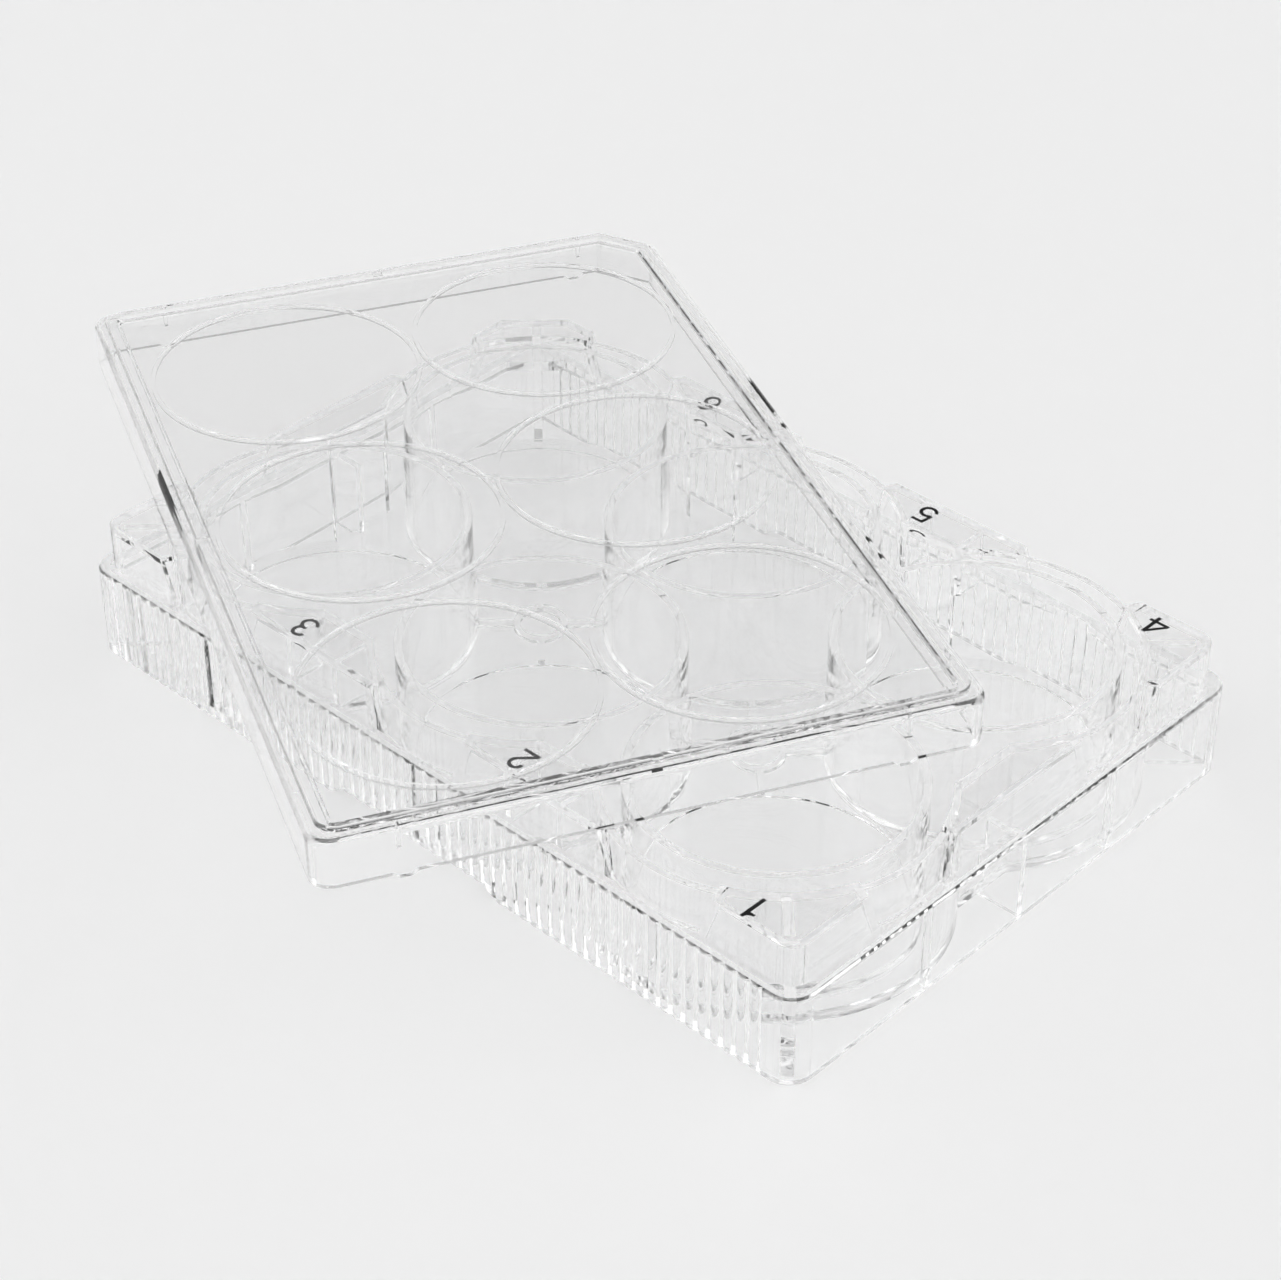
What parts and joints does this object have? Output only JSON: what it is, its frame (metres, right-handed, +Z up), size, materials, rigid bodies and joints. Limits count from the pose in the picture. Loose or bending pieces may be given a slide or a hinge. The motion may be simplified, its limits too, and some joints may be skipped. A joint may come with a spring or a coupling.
{
  "type": "well plate",
  "caption": "Clear culture plate with free-standing round wells inside a shared moat, and its flat rectangular lid lying askew on top.",
  "frame": {"origin": "middle of the tray's footprint, on the plane that the tray stands on", "axes": "+X along the tray's long side from the column of wells 1 and 4 to that of wells 3 and 6, +Y along its short side from the row of well 4 to the row of well 1, +Z up out of the wells"},
  "size_m": [0.1609, 0.1291, 0.0273],
  "materials": {
    "tray": "clear colourless polystyrene, polished",
    "lid": "clear colourless polystyrene, polished",
    "ink": "black printed ink"
  },
  "bodies": {
    "root": {"tray": "tray", "lid": "lid"}
  },
  "joints": []
}
